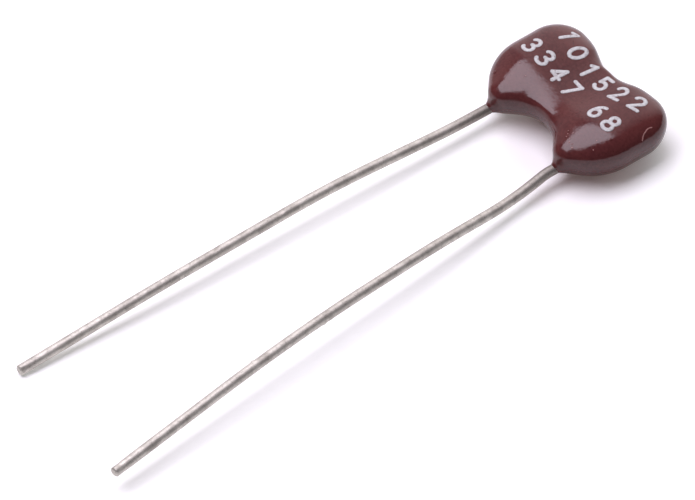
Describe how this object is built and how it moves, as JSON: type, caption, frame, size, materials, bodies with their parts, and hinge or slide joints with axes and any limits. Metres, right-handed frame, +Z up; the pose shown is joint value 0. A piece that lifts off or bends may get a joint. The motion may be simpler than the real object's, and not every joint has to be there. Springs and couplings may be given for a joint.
{
  "type": "silver mica capacitor",
  "caption": "Dipped silver mica capacitor: glossy bow-tie coat over a clamped stack of mica, silver and foil, with long tinned radial leads for through-hole soldering.",
  "frame": {"origin": "middle of the underside of the whole part's box, on the surface the part lies on", "axes": "+Y from the cut lead ends to the crown of the coat, +X across the two leads, +Z up from the surface it lies on"},
  "size_m": [0.0118, 0.0404, 0.0032],
  "materials": {
    "coating": "glossy maroon-brown phenolic dip coat",
    "lead_wire": "tinned copper-clad steel wire, drawn and satin",
    "clamp": "stamped brass strip",
    "solder": "soft solder",
    "mica": "cleaved mica sheet",
    "silver": "fired silver film",
    "foil": "tin-lead foil"
  },
  "bodies": {
    "root": {"dipped_coating": "coating", "lead_left": "lead_wire", "lead_right": "lead_wire", "clamp_left": "clamp", "clamp_right": "clamp", "solder_left": "solder", "solder_right": "solder", "cover_mica_lower": "mica", "cover_mica_upper": "mica", "mica_sheet_1": "mica", "mica_sheet_2": "mica", "mica_sheet_3": "mica", "mica_sheet_4": "mica", "mica_sheet_5": "mica", "mica_sheet_6": "mica", "electrode_1_lower": "silver", "electrode_1_upper": "silver", "electrode_2_lower": "silver", "electrode_2_upper": "silver", "electrode_3_lower": "silver", "electrode_3_upper": "silver", "electrode_4_lower": "silver", "electrode_4_upper": "silver", "electrode_5_lower": "silver", "electrode_5_upper": "silver", "electrode_6_lower": "silver", "electrode_6_upper": "silver", "foil_1": "foil", "foil_2": "foil", "foil_3": "foil", "foil_4": "foil", "foil_5": "foil", "foil_6": "foil", "foil_7": "foil"}
  },
  "joints": []
}
